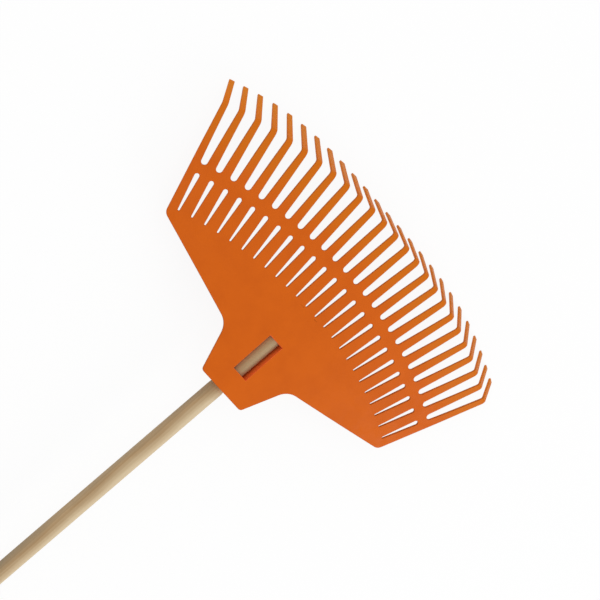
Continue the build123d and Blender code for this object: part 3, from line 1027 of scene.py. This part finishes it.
class RAKE_OT_socket(Operator):
    """Model the socket, the strap under the window, the end stop and the rim under the throat"""

    bl_idname = "object.rake_socket"
    bl_label = "Rake Socket"

    def execute(self, context):
        scene = context.scene
        fan = Fan(scene)
        self.socket(scene, fan)
        self.rim(scene, fan)
        return {"FINISHED"}

    def socket(self, scene, fan):
        """The socket as one shell, block by block along the handle, fitted under the plate."""
        throat = scene.rake_throat
        handle = scene.rake_handle
        half = throat.window_width / 2
        top = handle.bore_radius + SOCKET_ROOM
        rear = (handle.front - throat.rear) / cos(handle.slope)
        bm = bmesh.new()
        self.blocks(bm, throat, handle, top, rear)
        welded(bm)
        tops = [vert for vert in bm.verts if abs(vert.co.y - top) < SAME_PLACE]
        backs = [vert for vert in bm.verts if abs(vert.co.z - rear) < SAME_PLACE]
        bmesh.ops.transform(bm, matrix=handle_frame(fan, handle), verts=bm.verts[:])
        for vert in backs:
            vert.co.y = fan.apex.y + throat.rear + handle.socket_setback
        for vert in tops:
            place = vert.co - fan.apex
            middle = fan.height(place.x, place.y) - fan.sizes.plate_thickness / 2
            vert.co.z = fan.apex.z + middle
        outward(bm)
        round_edges(bm, sharp_edges(bm, SHARP_ANGLE), fan.sizes.fine_rounding, FINE_SEGMENTS)
        # Painted glow on the socket's walls beside the window
        wall_glow_share = bm.verts.layers.float.new("wall_glow_share")
        for vert in bm.verts:
            vert[wall_glow_share] = float(abs(abs(vert.co.x) - half) < WALL_MARGIN)
        finished(bm, "handle_socket", plastic_of(scene), "head")

    def blocks(self, bm, throat, handle, top, rear):
        """Side walls all along, a roof at both ends of the window, the end stop and the strap."""
        bore = handle.bore_radius
        outer = bore + handle.socket_wall
        half = throat.window_width / 2
        slant = cos(handle.slope)
        window_rear = (handle.front - throat.window_rear) / slant
        window_front = (handle.front - throat.window_front) / slant
        lap_front = window_front - handle.strap_lap
        lap_rear = window_rear + handle.strap_lap
        stop = -handle.socket_wall
        places = (stop, 0.0, lap_front, window_front, window_rear, lap_rear, rear)
        for start, end in zip(places, places[1:]):
            for side in (1.0, -1.0):
                self.block(bm, self.wall(bm, side * half, side * outer, top), start, end)
            if start != window_front:
                self.block(bm, self.roof(bm, bore, half, top), start, end)
            if start < 0.0:
                self.block(bm, self.stop(bm, bore), start, end)
            if lap_front <= start < lap_rear:
                self.block(bm, self.strap(bm, bore, half, outer), start, end)

    def block(self, bm, faces, start, end):
        """Extrude a section between two places along the handle."""
        bmesh.ops.translate(bm, verts=corners_of(whole(faces)), vec=Z_AXIS * start)
        extruded(bm, faces, Z_AXIS * (end - start))

    def wall(self, bm, inner, outer, top):
        """Section of a side wall."""
        pen = Pen(bm, inner, 0.0)
        pen.lines((outer, 0.0), (outer, top), (inner, top))
        return pen.close()

    def roof(self, bm, bore, half, top):
        """Section between the walls, over the handle."""
        pen = Pen(bm, -half, 0.0)
        pen.line(-bore, 0.0)
        pen.arc(0.0, 0.0, -pi, BORE_STEPS)
        pen.lines((half, 0.0), (half, top), (-half, top))
        return pen.close()

    def stop(self, bm, bore):
        """Section of the end stop, under the roof."""
        pen = Pen(bm, -bore, 0.0)
        pen.arc(0.0, 0.0, -pi, BORE_STEPS)
        return pen.close()

    def strap(self, bm, bore, half, outer):
        """Section of the strap, under the handle."""
        pen = Pen(bm, -bore, 0.0)
        pen.arc(0.0, 0.0, pi, BORE_STEPS)
        pen.lines((half, 0.0), (outer, 0.0))
        pen.arc(0.0, 0.0, -pi, BORE_STEPS)
        pen.line(-half, 0.0)
        return pen.close()

    def rim(self, scene, fan):
        """The rim under the throat plate, from one side of the socket round to the other."""
        throat = scene.rake_throat
        bm = bmesh.new()
        self.rim_band(bm, fan, throat)
        self.open_band(bm, scene.rake_handle.bore_radius + throat.rim_end, throat.neck)
        inside = fan.sizes.plate_thickness / 2
        for vert in bm.verts:
            vert.co.z = fan.height(vert.co.x, vert.co.y) - inside
        upward(bm)
        extruded(bm, bm.faces[:], Z_AXIS * (-inside - throat.rim_height))
        outward(bm)
        round_edges(bm, sharp_edges(bm, SHARP_ANGLE), fan.sizes.fine_rounding, FINE_SEGMENTS)
        bmesh.ops.translate(bm, verts=bm.verts[:], vec=fan.apex)
        finished(bm, "throat_rim", plastic_of(scene), "head")

    def rim_band(self, bm, fan, throat):
        """A closed band inside the plate's outline, flat, cut along the seams of the fan."""
        half = whole(half_throat(bm, fan, throat, throat.rim_inset))
        bmesh.ops.mirror(bm, geom=half, axis="X", merge_dist=MIRROR_MERGE)
        spine = []
        for edge in bm.edges:
            if sum(abs(vert.co.x) for vert in edge.verts) < SAME_PLACE:
                spine.append(edge)
        bmesh.ops.dissolve_edges(bm, edges=spine, use_verts=False)
        outward(bm)
        plate = bm.faces[:]
        edging = self.inset(bm, plate, throat.rim_inset)
        self.inset(bm, plate, throat.rim_thickness)
        bmesh.ops.delete(bm, geom=edging + plate, context="FACES")
        cut_along_seams(bm, bm.faces[:], fan)

    def inset(self, bm, plate, thickness):
        """Draw a plate in by a thickness, and return the faces around it."""
        return bmesh.ops.inset_region(
            bm, faces=plate, thickness=thickness, use_even_offset=True, use_boundary=True
        )["faces"]

    def open_band(self, bm, half_width, neck):
        """Open the band at the throat's rear, where the socket is."""
        for side in (1.0, -1.0):
            cut(bm, everything(bm), (side * half_width, 0.0, 0.0), X_AXIS)
        bridge = []
        for face in bm.faces:
            middle = face.calc_center_median()
            if abs(middle.x) < half_width and middle.y < neck:
                bridge.append(face)
        bmesh.ops.delete(bm, geom=bridge, context="FACES")


class RAKE_OT_handle(Operator):
    """Model the turned wooden handle"""

    bl_idname = "object.rake_handle"
    bl_label = "Rake Handle"

    def execute(self, context):
        scene = context.scene
        fan = Fan(scene)
        handle = scene.rake_handle
        bm = bmesh.new()
        self.profile(bm, handle)
        bmesh.ops.spin(
            bm,
            geom=everything(bm),
            cent=ORIGIN,
            axis=Y_AXIS,
            angle=2 * pi,
            steps=HANDLE_STEPS,
            use_merge=True,
        )
        bmesh.ops.remove_doubles(bm, verts=bm.verts[:], dist=SAME_PLACE)
        outward(bm)
        turned_edges = sharp_edges(bm, HANDLE_SHARP_ANGLE)
        round_edges(bm, turned_edges, handle.edge_rounding, FINE_SEGMENTS)
        bmesh.ops.transform(bm, matrix=handle_frame(fan, handle) @ UPRIGHT, verts=bm.verts[:])
        seat = fan.apex.y + scene.rake_throat.rear
        wood = kept(WOOD, turned_wood, scene.rake_finish, handle, seat)
        piece = finished(bm, "wood_handle", wood, "head")
        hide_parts("handle")
        return {"FINISHED"}

    def profile(self, bm, handle):
        """Half of the handle's outline, with Y along it from the end stop."""
        seat = handle.seat_length
        straight = handle.length - handle.end_radius
        pen = Pen(bm, 0.0, 0.0)
        pen.line(handle.seat_radius - handle.chamfer, 0.0)
        pen.lines((handle.seat_radius, handle.chamfer), (handle.seat_radius, seat))
        pen.line(handle.radius, seat + handle.seat_shoulder)
        for step in range(1, HANDLE_LENGTHS + 1):
            pen.line(handle.radius, seat + (straight - seat) * step / HANDLE_LENGTHS)
        pen.arc(handle.radius - handle.end_radius, straight, pi / 2, ARC_STEPS)
        pen.line(0.0, handle.length)


class RAKE_OT_screw(Operator):
    """Finish the socket screw in plated steel"""

    bl_idname = "object.rake_screw"
    bl_label = "Rake Screw"

    def execute(self, context):
        screw = frame["nodes"]["socket_screw"]
        screw.data.materials.clear()
        screw.data.materials.append(kept(STEEL, plated_steel, context.scene.rake_finish))
        return {"FINISHED"}


class RAKE_OT_stage(Operator):
    """Set the floor, the soft lights and the camera"""

    bl_idname = "object.rake_stage"
    bl_label = "Rake Stage"

    def execute(self, context):
        scene = context.scene
        scene.view_settings.view_transform = "Standard"
        self.floor(scene)
        self.world(scene)
        for name, (place, width, power) in LAMPS.items():
            self.lamp(scene, name, place, width, power)
        self.camera(scene)
        return {"FINISHED"}

    def floor(self, scene):
        """A white floor that takes the rake's shadow."""
        bm = bmesh.new()
        bmesh.ops.create_grid(bm, x_segments=2, y_segments=2, size=FLOOR_SIZE)
        mesh = bpy.data.meshes.new("studio_floor")
        bm.to_mesh(mesh)
        bm.free()
        shader = Shader("white_floor")
        shader.set_surface(
            Base_Color=(*scene.rake_finish.floor, 1.0),
            Roughness=FLOOR_ROUGHNESS,
            Specular_IOR_Level=0.0,
        )
        seen = self.seen(shader.tree)
        paper = shader.calc("Paper share", "MULTIPLY", seen, PAPER_SHARE)
        glow = shader.add("ShaderNodeEmission", "White paper", Color=WHITE, Strength=1.0)
        both = shader.add("ShaderNodeMixShader", "Paper and shadow")
        shader.feed(both.inputs["Fac"], paper)
        shader.feed(both.inputs[1], shader.surface.outputs["BSDF"])
        shader.feed(both.inputs[2], glow.outputs["Emission"])
        shader.feed(shader.output.inputs["Surface"], both.outputs["Shader"])
        mesh.materials.append(shader.material)
        floor = bpy.data.objects.new("studio_floor", mesh)
        scene.collection.objects.link(floor)

    def seen(self, tree):
        """Whether a ray comes from the camera, a mirroring surface or a clear one."""
        path = tree.nodes.new("ShaderNodeLightPath")
        path.label = "Kind of ray"
        seen = path.outputs["Is Camera Ray"]
        for ray in ("Is Glossy Ray", "Is Transmission Ray"):
            either = tree.nodes.new("ShaderNodeMath")
            either.label = "Seen either way"
            either.operation = "MAXIMUM"
            tree.links.new(seen, either.inputs[0])
            tree.links.new(path.outputs[ray], either.inputs[1])
            seen = either.outputs["Value"]
        return seen

    def world(self, scene):
        """A plain sky that lights the rake softly and is white where it is seen."""
        world = bpy.data.worlds.new("studio")
        scene.world = world
        world.use_nodes = True
        tree = world.node_tree
        sky = tree.nodes["Background"]
        sky.inputs["Color"].default_value = WHITE
        level = tree.nodes.new("ShaderNodeMapRange")
        level.inputs["To Min"].default_value = SKY_LIGHT
        level.inputs["To Max"].default_value = 1.0
        tree.links.new(self.seen(tree), level.inputs["Value"])
        tree.links.new(level.outputs["Result"], sky.inputs["Strength"])

    def lamp(self, scene, name, place, width, power):
        """A round soft lamp, aimed at the head."""
        data = bpy.data.lights.new(name, "AREA")
        data.shape = "DISK"
        data.size = width
        data.energy = power
        lamp = bpy.data.objects.new(name, data)
        scene.collection.objects.link(lamp)
        turn = (LAMP_AIM - Vector(place)).to_track_quat("-Z", "Y").to_matrix()
        lamp.matrix_world = Matrix.Translation(place) @ turn.to_4x4()

    def camera(self, scene):
        """The photograph's view."""
        data = bpy.data.cameras.new("photo_camera")
        data.sensor_width = CAMERA_SENSOR
        data.sensor_fit = "HORIZONTAL"
        data.lens = CAMERA_LENS
        data.clip_end = CAMERA_REACH
        camera = bpy.data.objects.new("photo_camera", data)
        scene.collection.objects.link(camera)
        back = CAMERA_RIGHT.cross(CAMERA_UP)
        turn = Matrix((CAMERA_RIGHT, CAMERA_UP, back)).transposed()
        camera.matrix_world = Matrix.Translation(CAMERA_PLACE) @ turn.to_4x4()
        scene.camera = camera


class RAKE_PT_panel(Panel):
    """Lists the rake's pieces and its sizes and colours"""

    bl_idname = "RAKE_PT_panel"
    bl_label = "Leaf Rake"
    bl_space_type = "VIEW_3D"
    bl_region_type = "UI"
    bl_category = "Rake"

    def draw(self, context):
        for operator in OPERATORS:
            self.layout.operator(operator.bl_idname)
        for name in SETTINGS:
            box = self.layout.box()
            group = getattr(context.scene, name)
            for key in group.__annotations__:
                box.prop(group, key)


SETTINGS = {
    "rake_fan": RakeFanSizes,
    "rake_tines": RakeTineSizes,
    "rake_throat": RakeThroatSizes,
    "rake_handle": RakeHandleSizes,
    "rake_finish": RakeFinish,
}
OPERATORS = (
    RAKE_OT_head,
    RAKE_OT_tines,
    RAKE_OT_socket,
    RAKE_OT_handle,
    RAKE_OT_screw,
    RAKE_OT_stage,
)


def register():
    """Add the rake's settings, operators and panel."""
    for name, group in SETTINGS.items():
        bpy.utils.register_class(group)
        setattr(bpy.types.Scene, name, PointerProperty(type=group))
    for operator in OPERATORS:
        bpy.utils.register_class(operator)
    bpy.utils.register_class(RAKE_PT_panel)


def unregister():
    """Take them away again."""
    bpy.utils.unregister_class(RAKE_PT_panel)
    for operator in reversed(OPERATORS):
        bpy.utils.unregister_class(operator)
    for name, group in reversed(SETTINGS.items()):
        delattr(bpy.types.Scene, name)
        bpy.utils.unregister_class(group)


def main():
    """Model the rake piece by piece."""
    register()
    bpy.ops.object.rake_head()
    bpy.ops.object.rake_tines()
    bpy.ops.object.rake_socket()
    bpy.ops.object.rake_handle()
    bpy.ops.object.rake_screw()
    bpy.ops.object.rake_stage()


if __name__ == "__main__":
    main()
